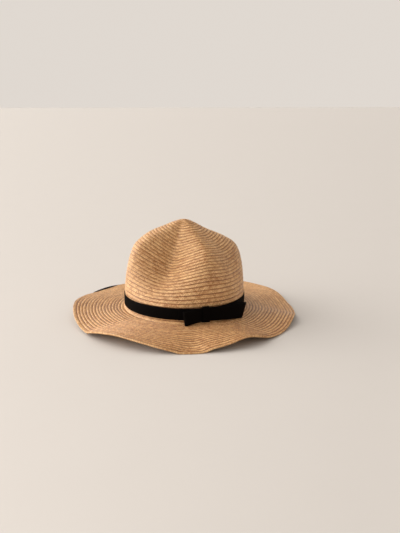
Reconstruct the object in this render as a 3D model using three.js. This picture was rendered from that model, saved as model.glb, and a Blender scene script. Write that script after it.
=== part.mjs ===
// Child's ribbon hat: a sun hat of sewn paper-straw braid with a four-dent crown and a soft wavy brim,
// a black ribbon with a flat side bow, and a flat elastic chin strap that lies loose under the brim.
// Millimetres. +Z is up, the hat's front faces -Y and the wearer's left is +X.
// The origin lies on the surface that the hat rests on, under the crown's axis.
import * as THREE from 'three';

// Straw body: one long braid sewn in a spiral from the peak to the brim's edge
const headLength = 167; // inside the crown's foot, front to back
const headWidth = 157; // inside the crown's foot, side to side
const strawWall = 1.8;
const crownHeight = 124.5; // from the brim's root to the peak
const brimRootHeight = 12.5; // brim's root above the resting surface
const brimWidth = 73; // from the crown's outer face to the brim's edge
const rootFillet = 4; // outer radius between crown and brim
const waveHeight = 16; // tallest wave of the brim's edge above the surface
const crownLean = 2.2; // rise of the crown's foot on its high side
const leanAzimuth = 334;

// Ribbon and bow
const ribbonWidth = 15.5;
const ribbonThickness = 1;
const ribbonLift = 1.2; // ribbon's lower edge above the fillet's top
const clearance = 0.35; // between pieces that touch
const bowAzimuth = 83;
const bowWidth = 18.5;
const rearLoopLength = 57; // from the knot's middle to the fold
const frontLoopLength = 28;
const lapLength = 35; // ribbon's free end, sewn flat over its start
const knotWidth = 9;
const loopOpening = 4.5; // between a loop's two layers at its fold
const loopCurl = 1.6; // power by which a loop bends away along its length
const droopCurl = 1.5; // power by which it hangs
const rearFlare = 8; // how far the rear loop's end stands off
const rearDroop = 3.2; // how far its end hangs
const rearSlant = 10; // how far the top of its fold runs past the bottom
const frontFlare = 6;
const frontDroop = 3;
const frontSlant = 2;

// Chin strap
const strapWidth = 8;
const strapThickness = 1.1;
const strapRest = 0.1; // its lower face above the resting surface
const strapGap = 0.5; // between its sewn ends and the crown's wall

// Crown sections from the peak to the foot, on a ridge and in a full dent. Rows lie equally far along the
// straw in both. Radii are shares of the foot's radius, heights shares of the crown's height above the fillet.
const crownSections = [
  { ridgeRadius: 0.0, ridgeHeight: 1.0, dentRadius: 0.0, dentHeight: 1.0 },
  { ridgeRadius: 0.09, ridgeHeight: 0.985, dentRadius: 0.077, dentHeight: 0.981 },
  { ridgeRadius: 0.2, ridgeHeight: 0.945, dentRadius: 0.16, dentHeight: 0.925 },
  { ridgeRadius: 0.33, ridgeHeight: 0.89, dentRadius: 0.26, dentHeight: 0.85 },
  { ridgeRadius: 0.47, ridgeHeight: 0.84, dentRadius: 0.345, dentHeight: 0.765 },
  { ridgeRadius: 0.61, ridgeHeight: 0.795, dentRadius: 0.415, dentHeight: 0.68 },
  { ridgeRadius: 0.74, ridgeHeight: 0.745, dentRadius: 0.475, dentHeight: 0.595 },
  { ridgeRadius: 0.85, ridgeHeight: 0.69, dentRadius: 0.54, dentHeight: 0.52 },
  { ridgeRadius: 0.915, ridgeHeight: 0.61, dentRadius: 0.62, dentHeight: 0.45 },
  { ridgeRadius: 0.953, ridgeHeight: 0.52, dentRadius: 0.72, dentHeight: 0.38 },
  { ridgeRadius: 0.977, ridgeHeight: 0.41, dentRadius: 0.83, dentHeight: 0.315 },
  { ridgeRadius: 0.992, ridgeHeight: 0.28, dentRadius: 0.93, dentHeight: 0.235 },
  { ridgeRadius: 1.0, ridgeHeight: 0.145, dentRadius: 0.987, dentHeight: 0.136 },
  { ridgeRadius: 1.0, ridgeHeight: 0.0, dentRadius: 1.0, dentHeight: 0.0 },
];

// The crown's four dents. depth is 1 for a full dent; before and after are how far it reaches to each side, and
// shift is how far its middle moves on toward the foot, all in degrees.
const crownDents = [
  { azimuth: 42, before: 36, after: 48, shift: -11, depth: 1 },
  { azimuth: 130, before: 33, after: 34, shift: -10, depth: 0.25 },
  { azimuth: 230, before: 45, after: 45, shift: 0, depth: 0.4 },
  { azimuth: 318, before: 44, after: 42, shift: 0, depth: 0.25 },
];

const valleyRound = 0.4; // of a dent's reach
const ridgeRound = 0.08; // of a dent's depth

// The crown's raised shoulders. height is a share of the crown's height; spread is how far a shoulder reaches
// to each side, in degrees; end is the share of the way from the peak to the foot where it ends.
const crownShoulders = [
  { azimuth: 338, height: 0.07, spread: 76, end: 0.78 },
  { azimuth: 154, height: 0.026, spread: 62, end: 1.1 },
];

// Brim waves round the edge. lift is a share of waveHeight, and below 0 where the brim lies on the surface;
// reach is a share of the edge's radius, and sag the share of waveHeight by which the brim's middle hangs.
const brimWaves = [
  { azimuth: 7, lift: 0.2, reach: 0.985, sag: -0.1 },
  { azimuth: 14, lift: 0.5, reach: 0.995, sag: 0 },
  { azimuth: 21, lift: 0.8, reach: 1, sag: 0 },
  { azimuth: 31, lift: 0.97, reach: 1, sag: 0 },
  { azimuth: 42, lift: 0.78, reach: 1, sag: 0 },
  { azimuth: 51, lift: 0.47, reach: 1, sag: 0 },
  { azimuth: 59, lift: 0.15, reach: 1, sag: -0.05 },
  { azimuth: 65, lift: -0.2, reach: 1, sag: -0.1 },
  { azimuth: 70, lift: -0.2, reach: 1, sag: -0.1 },
  { azimuth: 76, lift: 0.22, reach: 1, sag: -0.1 },
  { azimuth: 83, lift: 0.42, reach: 1, sag: -0.1 },
  { azimuth: 94, lift: 0.76, reach: 1, sag: 0 },
  { azimuth: 101, lift: 0.55, reach: 1, sag: 0 },
  { azimuth: 108, lift: 0.2, reach: 1, sag: 0 },
  { azimuth: 115, lift: 0.06, reach: 1, sag: 0 },
  { azimuth: 123, lift: 0.08, reach: 1, sag: 0 },
  { azimuth: 139, lift: 0.42, reach: 1, sag: 0 },
  { azimuth: 158, lift: -0.22, reach: 1, sag: 0 },
  { azimuth: 180, lift: 0.45, reach: 1, sag: 0 },
  { azimuth: 195, lift: 0.52, reach: 1, sag: 0 },
  { azimuth: 225, lift: 0.4, reach: 1, sag: 0 },
  { azimuth: 254, lift: -0.2, reach: 1, sag: 0 },
  { azimuth: 283, lift: 0.42, reach: 1, sag: 0 },
  { azimuth: 294, lift: 0.38, reach: 1, sag: 0 },
  { azimuth: 306, lift: 0.46, reach: 1, sag: 0 },
  { azimuth: 318, lift: 0.72, reach: 1, sag: 0 },
  { azimuth: 337, lift: 0.95, reach: 0.995, sag: 0.1 },
];

// The strap's sewn ends from the top down. height is above the resting surface; outward is away from the
// crown's wall at the wearer's right, and inward at the wearer's left, all in mm.
const strapEnds = [
  { height: 22, outward: 0, inward: 0 },
  { height: 14.3, outward: 0, inward: 0 },
  { height: 5.5, outward: 1.5, inward: 2.5 },
];

// Route of the strap on the resting surface, in mm: from the wearer's right out past the brim, back under
// the crown and to the wearer's left.
const strapRoute = [
  { x: -88, y: 2 },
  { x: -114, y: 6 },
  { x: -143, y: 0 },
  { x: -163, y: -17 },
  { x: -171, y: -42 },
  { x: -162.5, y: -67 },
  { x: -144.5, y: -89 },
  { x: -119, y: -95 },
  { x: -88, y: -81 },
  { x: -52, y: -54 },
  { x: -12, y: -26 },
  { x: 28, y: -7 },
  { x: 58, y: 0 },
];

// Facets
const aroundSteps = 72;
const crownRows = 18;
const filletRows = 3;
const brimRows = 9;
const bandRows = 3;
const loopSteps = 12;
const foldSteps = 4;
const strapSteps = 56;

const degrees = Math.PI / 180;
const clamp01 = (t) => Math.min(1, Math.max(0, t));

// Cubic through four values, at t between the middle two
function cubic(a, b, c, d, t) {
  const slopeIn = (c - a) / 2;
  const slopeOut = (d - b) / 2;
  const bend = 3 * (c - b) - 2 * slopeIn - slopeOut;
  const twist = 2 * (b - c) + slopeIn + slopeOut;
  return b + t * (slopeIn + t * (bend + t * twist));
}

// A column of an evenly read table, at a share from its first row to its last
function alongTable(rows, column, share) {
  const spot = clamp01(share) * (rows.length - 1);
  const i = Math.min(rows.length - 2, Math.floor(spot));
  const value = (k) => rows[Math.min(rows.length - 1, Math.max(0, k))][column];
  return cubic(value(i - 1), value(i), value(i + 1), value(i + 2), spot - i);
}

// A column of a table that runs once round the hat, at an azimuth in degrees
function aroundTable(rows, column, azimuth) {
  const turn = ((azimuth % 360) + 360) % 360;
  const count = rows.length;
  let i = rows.findIndex((row) => row.azimuth > turn) - 1;
  if (i < 0) i = turn < rows[0].azimuth ? -1 : count - 1;
  const row = (k) => rows[((k % count) + count) % count];
  const start = row(i).azimuth - (i < 0 ? 360 : 0);
  const end = row(i + 1).azimuth + (i + 1 >= count ? 360 : 0);
  const value = (k) => row(k)[column];
  return cubic(value(i - 1), value(i), value(i + 1), value(i + 2), (turn - start) / (end - start));
}

const footLength = headLength / 2 + strawWall; // outer half sizes of the crown's foot
const footWidth = headWidth / 2 + strawWall;

function footRadius(azimuth) {
  const across = Math.sin(azimuth * degrees) / footWidth;
  const ahead = Math.cos(azimuth * degrees) / footLength;
  return 1 / Math.hypot(across, ahead);
}

function place(azimuth, radius, z) {
  return new THREE.Vector3(radius * Math.sin(azimuth * degrees), -radius * Math.cos(azimuth * degrees), z);
}

// The crown and its foot lean as one: its high side is at leanAzimuth
function lean(azimuth, radius) {
  return (crownLean * radius * Math.cos((azimuth - leanAzimuth) * degrees)) / footLength;
}

// The shorter way from one azimuth to another, from -180 to 180 degrees
const turnBetween = (from, to) => ((to - from + 540) % 360) - 180;

// A smooth bump round an azimuth: 1 at its middle, 0 beyond its spread
function bump(azimuth, middle, spread) {
  const away = Math.abs(turnBetween(middle, azimuth)) / spread;
  return away < 1 ? Math.cos((away * Math.PI) / 2) ** 2 : 0;
}

// Across a dent: 1 in its valley and 0 at its ends, with straight walls between a rounded valley and ridges
function dentSection(away) {
  const top = Math.hypot(1, valleyRound);
  const height = Math.max(0, (top - Math.hypot(away, valleyRound)) / (top - valleyRound));
  return (height ** 2 * (1 + ridgeRound)) / (height + ridgeRound);
}

// How far the crown is dented at an azimuth and a share of the way to the foot: 0 on a ridge, 1 in a full dent
function dentAt(azimuth, share) {
  const depths = crownDents.map((dent) => {
    const turn = turnBetween(dent.azimuth + dent.shift * share ** 2, azimuth);
    return dent.depth * dentSection(Math.abs(turn) / (turn < 0 ? dent.before : dent.after));
  });
  return Math.min(1, depths.reduce((sum, depth) => sum + depth, 0));
}

// Outer face of the crown: share 0 is the peak and 1 the top of the fillet
function crownFace(azimuth, share) {
  const dent = dentAt(azimuth, share);
  const blend = (ridge, valley) =>
    alongTable(crownSections, ridge, share) * (1 - dent) + alongTable(crownSections, valley, share) * dent;
  const radius = footRadius(azimuth) * blend('ridgeRadius', 'dentRadius');
  const swells = crownShoulders.map(
    ({ azimuth: middle, height, spread, end }) =>
      height * bump(azimuth, middle, spread) * Math.sin(Math.PI * clamp01(share / end)) ** 2,
  );
  const swell = crownHeight * swells.reduce((sum, height) => sum + height, 0);
  const rise = (crownHeight - rootFillet) * blend('ridgeHeight', 'dentHeight') + swell;
  return place(azimuth, radius, brimRootHeight + rootFillet + rise + lean(azimuth, radius));
}

// Outer face of the fillet: share 0 is the crown's foot and 1 the brim's root
function filletFace(azimuth, share) {
  const turn = (share * Math.PI) / 2;
  const radius = footRadius(azimuth) + rootFillet * (1 - Math.cos(turn));
  const z = brimRootHeight + rootFillet * (1 - Math.sin(turn));
  return place(azimuth, radius, z + lean(azimuth, footRadius(azimuth)));
}

// Upper face of the brim: share 0 is its root and 1 its edge. Where it comes down it lies flat on the surface.
function brimFace(azimuth, share) {
  const root = filletFace(azimuth, 1);
  const rootRadius = Math.hypot(root.x, root.y);
  const edgeRadius = (footRadius(azimuth) + brimWidth) * aroundTable(brimWaves, 'reach', azimuth);
  const edgeHeight = strawWall + waveHeight * aroundTable(brimWaves, 'lift', azimuth);
  const sag = waveHeight * aroundTable(brimWaves, 'sag', azimuth) * 4 * share * (1 - share);
  const ease = share * (1 + share) / 2;
  const radius = rootRadius + (edgeRadius - rootRadius) * share;
  return place(azimuth, radius, Math.max(strawWall, root.z + (edgeHeight - root.z) * ease - sag));
}

// Outward normal of a face by small steps along and round it
function normalOf(face, azimuth, share) {
  const step = 1e-3;
  const low = Math.max(0, share - step);
  const high = Math.min(1, share + step);
  const along = face(azimuth, high).sub(face(azimuth, low));
  const around = face(azimuth + 0.1, share).sub(face(azimuth - 0.1, share));
  return along.cross(around).normalize();
}

// Geometry
function meshGeometry(points, triangles) {
  const geometry = new THREE.BufferGeometry().setFromPoints(points);
  geometry.setIndex(triangles.flat());
  geometry.computeVertexNormals();
  return geometry;
}

// Joins rings of equal length into a skin; with wrap the last ring meets the first
function ringTriangles(ringCount, ringLength, wrap) {
  const triangles = [];
  const last = wrap ? ringCount : ringCount - 1;
  for (let i = 0; i < last; i += 1) {
    const here = i * ringLength;
    const next = ((i + 1) % ringCount) * ringLength;
    for (let j = 0; j < ringLength; j += 1) {
      const k = (j + 1) % ringLength;
      triangles.push([here + j, next + j, next + k], [here + j, next + k, here + k]);
    }
  }
  return triangles;
}

// Turns a solid's faces round if they point inwards
function facingOut(geometry) {
  const position = geometry.getAttribute('position');
  const index = geometry.getIndex();
  const corner = (k) => new THREE.Vector3().fromBufferAttribute(position, index.getX(k));
  let volume = 0;
  for (let i = 0; i < index.count; i += 3) {
    volume += corner(i).dot(corner(i + 1).cross(corner(i + 2)));
  }
  if (volume < 0) {
    for (let i = 0; i < index.count; i += 3) {
      const second = index.getX(i + 1);
      index.setX(i + 1, index.getX(i + 2));
      index.setX(i + 2, second);
    }
    geometry.computeVertexNormals();
  }
  return geometry;
}

// A solid strip from its sections of four corners each, closed at both ends
function stripGeometry(sections) {
  const triangles = ringTriangles(sections.length, 4, false);
  const end = 4 * (sections.length - 1);
  triangles.push([0, 1, 2], [0, 2, 3], [end, end + 2, end + 1], [end, end + 3, end + 2]);
  return facingOut(meshGeometry(sections.flat(), triangles));
}

// Straw body
function strawGeometry() {
  const rows = [];
  for (let i = 1; i <= crownRows; i += 1) rows.push([crownFace, i / crownRows]);
  for (let i = 1; i <= filletRows; i += 1) rows.push([filletFace, i / filletRows]);
  for (let i = 1; i <= brimRows; i += 1) rows.push([brimFace, i / brimRows]);

  const ring = ([face, share], depth) => {
    const points = [];
    for (let j = 0; j < aroundSteps; j += 1) {
      const azimuth = (360 * j) / aroundSteps;
      points.push(face(azimuth, share).addScaledVector(normalOf(face, azimuth, share), -depth));
    }
    return points;
  };
  const outside = rows.map((row) => ring(row, 0));
  const inside = rows.map((row) => ring(row, strawWall)).reverse();
  const skin = [...outside, ...inside];
  const points = skin.flat();
  const triangles = ringTriangles(skin.length, aroundSteps, false);

  const peak = crownFace(0, 0);
  const outerPole = points.push(peak) - 1;
  const innerPole = points.push(peak.clone().setZ(peak.z - strawWall)) - 1;
  const lastRing = (skin.length - 1) * aroundSteps;
  for (let j = 0; j < aroundSteps; j += 1) {
    const k = (j + 1) % aroundSteps;
    triangles.push([outerPole, j, k], [innerPole, lastRing + k, lastRing + j]);
  }
  return facingOut(meshGeometry(points, triangles));
}

// Ribbon: a share of the crown's face lies behind each height, so the ribbon reads its radius from it.
// The ribbon lies on the crown's lower half, and the share is found by halving.
const ribbonSearchStart = 0.5;
const halvings = 30;

function crownShareAt(azimuth, z) {
  let low = ribbonSearchStart;
  let high = 1;
  for (let i = 0; i < halvings; i += 1) {
    const middle = (low + high) / 2;
    if (crownFace(azimuth, middle).z > z) low = middle;
    else high = middle;
  }
  return (low + high) / 2;
}

const ribbonFoot = brimRootHeight + rootFillet + ribbonLift;

// A point off the crown at the ribbon: up runs from 0 at the ribbon's lower edge to 1 at its upper edge
function offCrown(azimuth, up, standoff) {
  const z = ribbonFoot + lean(azimuth, footRadius(azimuth)) + up * ribbonWidth;
  const face = crownFace(azimuth, crownShareAt(azimuth, z));
  return place(azimuth, Math.hypot(face.x, face.y) + standoff, z);
}

function bandGeometry() {
  const rings = [];
  const ring = (up, standoff) => {
    const points = [];
    for (let j = 0; j < aroundSteps; j += 1) points.push(offCrown((360 * j) / aroundSteps, up, standoff));
    return points;
  };
  for (let i = 0; i <= bandRows; i += 1) rings.push(ring(i / bandRows, clearance));
  for (let i = bandRows; i >= 0; i -= 1) rings.push(ring(i / bandRows, clearance + ribbonThickness));
  return facingOut(meshGeometry(rings.flat(), ringTriangles(rings.length, aroundSteps, true)));
}

// Bow: its pieces are drawn flat and wrapped round the crown. distance runs round the crown from the knot,
// to the rear where positive; height is above the ribbon's lower edge; standoff is out from the crown's face.
const bowMiddle = ribbonWidth / 2;
const layerPitch = ribbonThickness + clearance;
const lapStandoff = clearance + layerPitch + ribbonThickness / 2;
const loopStandoff = lapStandoff + 1.5 * layerPitch; // between a loop's two layers at the knot
const knotStandoff = lapStandoff + 3 * layerPitch + clearance;

function onRibbon(distance, height, standoff) {
  const azimuth = bowAzimuth + distance / footRadius(bowAzimuth) / degrees;
  return offCrown(azimuth, height / ribbonWidth, standoff);
}

// A ribbon laid along a path of { a, b } points: across gives the ribbon's two edges at a point of the path,
// and toSpace maps a, b and the way across the ribbon into space.
function ribbonAlong(path, across, toSpace) {
  const sections = path.map((point, i) => {
    const before = path[Math.max(0, i - 1)];
    const after = path[Math.min(path.length - 1, i + 1)];
    const run = Math.hypot(after.a - before.a, after.b - before.b);
    const normalA = ((before.b - after.b) / run) * (ribbonThickness / 2);
    const normalB = ((after.a - before.a) / run) * (ribbonThickness / 2);
    const [low, high] = across(point);
    return [
      toSpace(point.a - normalA, point.b - normalB, low),
      toSpace(point.a - normalA, point.b - normalB, high),
      toSpace(point.a + normalA, point.b + normalB, high),
      toSpace(point.a + normalA, point.b + normalB, low),
    ];
  });
  return stripGeometry(sections);
}

// A folded loop; side is 1 to the rear and -1 to the front
function loopGeometry(side, length, flare, droop, slant) {
  const straight = length - loopOpening / 2;
  const start = clearance;
  const middle = (share) => loopStandoff + flare * share ** loopCurl;
  const halfGap = (share) => (layerPitch + (loopOpening - layerPitch) * share ** 2) / 2;
  const layer = (sign) => {
    const points = [];
    for (let i = 0; i <= loopSteps; i += 1) {
      const share = i / loopSteps;
      const a = start + (straight - start) * share;
      points.push({ a, b: middle(share) + sign * halfGap(share) });
    }
    return points;
  };
  const fold = [];
  for (let i = 1; i < foldSteps; i += 1) {
    const turn = (Math.PI * i) / foldSteps - Math.PI / 2;
    fold.push({ a: straight + halfGap(1) * Math.cos(turn), b: middle(1) + halfGap(1) * Math.sin(turn) });
  }
  const path = [...layer(-1), ...fold, ...layer(1).reverse()];
  const across = ({ a }) => {
    const hang = droop * (a / length) ** droopCurl;
    return [bowMiddle - bowWidth / 2 - hang, bowMiddle + bowWidth / 2 - hang];
  };
  const lengthen = (a, height) => a * (1 + (slant * (height - bowMiddle)) / (length * bowWidth));
  return ribbonAlong(path, across, (a, b, height) => onRibbon(side * lengthen(a, height), height, b));
}

// The ribbon's free end, a single layer under the bow
function lapGeometry() {
  const path = [];
  for (let i = 0; i <= loopSteps; i += 1) {
    path.push({ a: knotWidth / 2 - ((lapLength + knotWidth / 2) * i) / loopSteps, b: lapStandoff });
  }
  return ribbonAlong(path, () => [0, ribbonWidth], (a, b, height) => onRibbon(a, height, b));
}

// The wrap round the bow's middle: over the bow, its ends turned in above and below
function knotGeometry() {
  const reach = bowWidth / 2 + clearance + ribbonThickness;
  const foot = lapStandoff + ribbonThickness;
  const path = [
    { a: bowMiddle - reach, b: foot },
    { a: bowMiddle - reach, b: knotStandoff - ribbonThickness },
    { a: bowMiddle - reach + ribbonThickness, b: knotStandoff },
    { a: bowMiddle, b: knotStandoff + ribbonThickness / 2 },
    { a: bowMiddle + reach - ribbonThickness, b: knotStandoff },
    { a: bowMiddle + reach, b: knotStandoff - ribbonThickness },
    { a: bowMiddle + reach, b: foot },
  ];
  return ribbonAlong(path, () => [-knotWidth / 2, knotWidth / 2], (a, b, side) => onRibbon(side, a, b));
}

// Chin strap: a flat band whose width stays level all along
function strapGeometry() {
  const wall = headWidth / 2 - strapGap - strapThickness / 2;
  const lying = strapRest + strapThickness / 2;
  const points = [
    ...strapEnds.map(({ height, outward }) => new THREE.Vector3(-wall - outward, 0, height)),
    ...strapRoute.map(({ x, y }) => new THREE.Vector3(x, y, lying)),
    ...strapEnds.map(({ height, inward }) => new THREE.Vector3(wall - inward, 0, height)).reverse(),
  ];
  const path = new THREE.CatmullRomCurve3(points, false, 'centripetal');
  const sections = [];
  for (let i = 0; i <= strapSteps; i += 1) {
    const middle = path.getPointAt(i / strapSteps);
    middle.z = Math.max(middle.z, lying);
    const along = path.getTangentAt(i / strapSteps);
    const across = new THREE.Vector3(along.y, -along.x, 0).normalize();
    const up = across.clone().cross(along).normalize();
    const corner = (side, face) => middle
      .clone()
      .addScaledVector(across, (side * strapWidth) / 2)
      .addScaledVector(up, (face * strapThickness) / 2);
    sections.push([corner(-1, -1), corner(1, -1), corner(1, 1), corner(-1, 1)]);
  }
  return stripGeometry(sections);
}

const group = new THREE.Group();
group.name = 'ribbon_hat';

function addPiece(name, geometry, material) {
  const mesh = new THREE.Mesh(geometry, material);
  mesh.name = name;
  group.add(mesh);
}

const straw = new THREE.MeshStandardMaterial({ color: 0xc79a66, roughness: 0.75, metalness: 0 });
const ribbon = new THREE.MeshStandardMaterial({ color: 0x151316, roughness: 0.6, metalness: 0 });
const elastic = new THREE.MeshStandardMaterial({ color: 0x0e0d0f, roughness: 0.8, metalness: 0 });

addPiece('straw_body', strawGeometry(), straw);
addPiece('ribbon_band', bandGeometry(), ribbon);
addPiece('ribbon_lap', lapGeometry(), ribbon);
addPiece('bow_loop_rear', loopGeometry(1, rearLoopLength, rearFlare, rearDroop, rearSlant), ribbon);
addPiece('bow_loop_front', loopGeometry(-1, frontLoopLength, frontFlare, frontDroop, frontSlant), ribbon);
addPiece('bow_knot', knotGeometry(), ribbon);
addPiece('chin_strap', strapGeometry(), elastic);

export default group;
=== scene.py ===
"""Ribbon hat: a child's sun hat of sewn paper-straw braid, with a ribbon, a flat side bow and a loose
chin strap. Metres, +Z up, the hat's front faces -Y and the wearer's left is +X."""
import math

import bmesh
import bpy
import numpy as np
from bpy.props import FloatProperty, FloatVectorProperty, PointerProperty
from mathutils import Matrix, Vector


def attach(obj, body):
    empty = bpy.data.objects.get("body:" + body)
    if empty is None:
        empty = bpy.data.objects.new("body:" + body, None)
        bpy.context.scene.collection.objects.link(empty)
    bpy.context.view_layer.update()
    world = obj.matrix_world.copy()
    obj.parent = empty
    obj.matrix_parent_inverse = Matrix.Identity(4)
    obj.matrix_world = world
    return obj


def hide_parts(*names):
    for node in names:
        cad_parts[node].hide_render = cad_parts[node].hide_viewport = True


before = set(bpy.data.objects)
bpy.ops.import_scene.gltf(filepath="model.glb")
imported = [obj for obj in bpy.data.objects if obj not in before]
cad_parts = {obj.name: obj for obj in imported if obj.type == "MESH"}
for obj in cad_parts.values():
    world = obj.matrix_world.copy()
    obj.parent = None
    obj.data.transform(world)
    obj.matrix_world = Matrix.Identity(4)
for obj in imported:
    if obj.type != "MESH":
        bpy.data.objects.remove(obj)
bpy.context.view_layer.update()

bl_info = {
    "name": "Ribbon hat",
    "version": (1, 0, 0),
    "blender": (4, 5, 0),
    "location": "View3D > Sidebar > Hat",
    "description": "Builds a sewn-straw sun hat with its ribbon, bow and chin strap",
    "category": "Object",
}

MM = 0.001

# Crown sections from the peak to the foot, on a ridge and in a full dent, evenly far along the straw.
# Radii are shares of the foot's radius, heights shares of the crown's height above the fillet.
CROWN_COLUMNS = ("ridge_radius", "ridge_height", "dent_radius", "dent_height")
CROWN_SECTIONS = (
    (0.0, 1.0, 0.0, 1.0),
    (0.09, 0.985, 0.077, 0.981),
    (0.2, 0.945, 0.16, 0.925),
    (0.33, 0.89, 0.26, 0.85),
    (0.47, 0.84, 0.345, 0.765),
    (0.61, 0.795, 0.415, 0.68),
    (0.74, 0.745, 0.475, 0.595),
    (0.85, 0.69, 0.54, 0.52),
    (0.915, 0.61, 0.62, 0.45),
    (0.953, 0.52, 0.72, 0.38),
    (0.977, 0.41, 0.83, 0.315),
    (0.992, 0.28, 0.93, 0.235),
    (1.0, 0.145, 0.987, 0.136),
    (1.0, 0.0, 1.0, 0.0),
)
# The crown's four dents: azimuth, spread before and after it and shift toward the foot in degrees, and depth
DENTS = (
    (42, 36, 52, -11, 1),
    (130, 33, 34, -10, 0.25),
    (230, 45, 45, 0, 0.4),
    (318, 44, 42, 0, 0.25),
)
VALLEY_ROUND = 0.4  # of a dent's reach
RIDGE_ROUND = 0.2  # of a dent's depth
# Raised shoulders: azimuth and spread in degrees, height as a share of the crown's, and the share of the
# way to the foot where it ends
SHOULDERS = ((338, 76, 0.07, 0.78), (154, 62, 0.026, 1.1))
# Waves of the brim's edge
WAVE_COLUMNS = ("azimuth", "lift", "reach", "sag")
BRIM_WAVES = (
    (7, 0.2, 0.985, -0.1),
    (14, 0.5, 0.995, 0),
    (21, 0.8, 1, 0),
    (31, 0.97, 1, 0),
    (42, 0.78, 1, 0),
    (51, 0.47, 1, 0),
    (59, 0.15, 1, -0.05),
    (65, -0.2, 1, -0.1),
    (70, -0.2, 1, -0.1),
    (76, 0.22, 1, -0.1),
    (83, 0.42, 1, -0.1),
    (94, 0.76, 1, 0),
    (101, 0.55, 1, 0),
    (108, 0.2, 1, 0),
    (115, 0.06, 1, 0),
    (123, 0.08, 1, 0),
    (139, 0.42, 1, 0),
    (158, -0.22, 1, 0),
    (180, 0.45, 1, 0),
    (195, 0.52, 1, 0),
    (225, 0.4, 1, 0),
    (254, -0.2, 1, 0),
    (283, 0.42, 1, 0),
    (294, 0.38, 1, 0),
    (306, 0.46, 1, 0),
    (318, 0.72, 1, 0),
    (337, 0.95, 0.995, 0.1),
)
# The strap's sewn ends from the top down: height above the surface, how far it stands outward of the
# crown's wall at the wearer's right, and inward of it at the wearer's left, in mm
STRAP_ENDS = ((22, 0, 0), (14.3, 0, 0), (5.5, 1.5, 2.5))
# Its route on the surface, in mm
STRAP_ROUTE = (
    (-88, 2),
    (-114, 6),
    (-143, 0),
    (-163, -17),
    (-171, -42),
    (-162.5, -67),
    (-144.5, -89),
    (-119, -95),
    (-88, -81),
    (-52, -54),
    (-12, -26),
    (28, -7),
    (58, 0),
)
# One course of braid: share of its width, and its face's height over the straw's face in mm
COURSE_OUTSIDE = ((0.0, -0.4), (0.1, -0.28), (0.32, 0.12), (0.6, 0.46), (0.86, 0.58), (0.965, 0.4))
COURSE_INSIDE = ((0.04, 0.4), (0.35, 0.1), (0.9, -0.35))
# How the seams waver: by how many courses, how often in a turn, and from where in radians
SEAM_WAVER = ((0.035, 3.37, 0.0), (0.025, 7.81, 1.0))
# The brim's rounded edge, from the outer face to the inner: how deep, as a share of the straw, and how far
# past the edge in mm
BRIM_EDGE = ((-0.35, 0.35), (-0.2, 0.95), (0.3, 1.3), (0.8, 1.05), (1.05, 0.45))

RIDGE_ARC = 169.2 * MM  # along the straw from the peak to the crown's foot, on a ridge
STRAW_COLUMNS = 200  # columns of the straw's mesh round the hat
RIBBON_COLUMNS = 320  # columns of the ribbon's mesh round the crown
BRIM_START = 37.0  # courses from the peak to the brim's root
STRAW_LOWEST = 0.02 * MM  # above the surface, where the brim rests
REST_ROUND = 0.4 * MM  # how softly the brim meets the surface
RIBBON_FACE = 1.35 * MM  # the ribbon's outer face off the crown
PRESSED = 0.35  # share of the courses' relief that is left under the ribbon

# The bow's loops: which way each points from the knot, and how far it flares, droops and slants in mm
BOW_LOOPS = {"bow_rear": (1, 8, 3.2, 10), "bow_front": (-1, 6, 3, 2)}

# Painted shade: colour factors that darken the grooves between strands, from the groove between two strands
# to their tops
GROOVE_SHADE = ((0.0, (0.36, 0.2, 0.12)), (0.4, (0.86, 0.76, 0.68)), (0.8, 1.0))
# Painted shadow under each course's lower edge: colour factors from the seam at a course's lower edge to its
# upper edge, whose last step is painted shade too
SEAM_SHADOWS = (
    (0.0, (0.24, 0.12, 0.065)),
    (0.14, (0.52, 0.36, 0.27)),
    (0.32, (0.92, 0.87, 0.82)),
    (0.7, 1.0),
    (0.95, 1.0),
    (1.0, (0.75, 0.6, 0.5)),
)
# How strongly the seams' painted shadow darkens the straw, and how strongly it is painted once more on the
# brim
SEAM_SHADOW_STRENGTH = 0.85
BRIM_SEAM_SHADOW_STRENGTH = 0.75  # on the brim, once more
TONE_DRIFT = 130.0  # how quickly the straw's tone drifts along the braid, per metre
STITCH_COLOUR = (0.86, 0.64, 0.4)
STITCH_PITCH = 3.6 * MM
STITCH_LENGTH = 0.7  # of the pitch
STITCH_ROW = 0.8  # of a course's width
STITCH_REACH = 0.045  # to each side of its row, of a course's width
WEFT_PITCH = 0.3 * MM  # from thread to thread across the ribbon and the elastic
ELASTIC_RIB = 1.1 * MM

FLOOR_HALF = 60.0  # half the floor's side
# Painted light on the floor: it is painted paler toward the lit left and deeper toward the right
FLOOR_PAINTED_LIGHT = (0.33, -0.38)  # slopes to the right between which the floor goes from deep to pale
BACKDROP_TOP = (0.18, 0.3)  # sines of the heights where it starts and ends to turn into overhead light
WINDOW_FADE = (0.74, 0.97)  # cosines off the window's middle where its light starts and where it is full
SHADE_END = 0.35  # of the way from straight behind to the window's middle


def length(name, description, value):
    return FloatProperty(name=name, description=description, default=value * MM, unit="LENGTH", precision=5)


def number(name, description, value, subtype="NONE"):
    return FloatProperty(name=name, description=description, default=value, subtype=subtype)


def degrees(name, description, value):
    return number(name, description, math.radians(value), "ANGLE")


def colour(name, description, value):
    return FloatVectorProperty(
        name=name, description=description, default=value, size=3, min=0.0, max=1.0, subtype="COLOR"
    )


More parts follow.
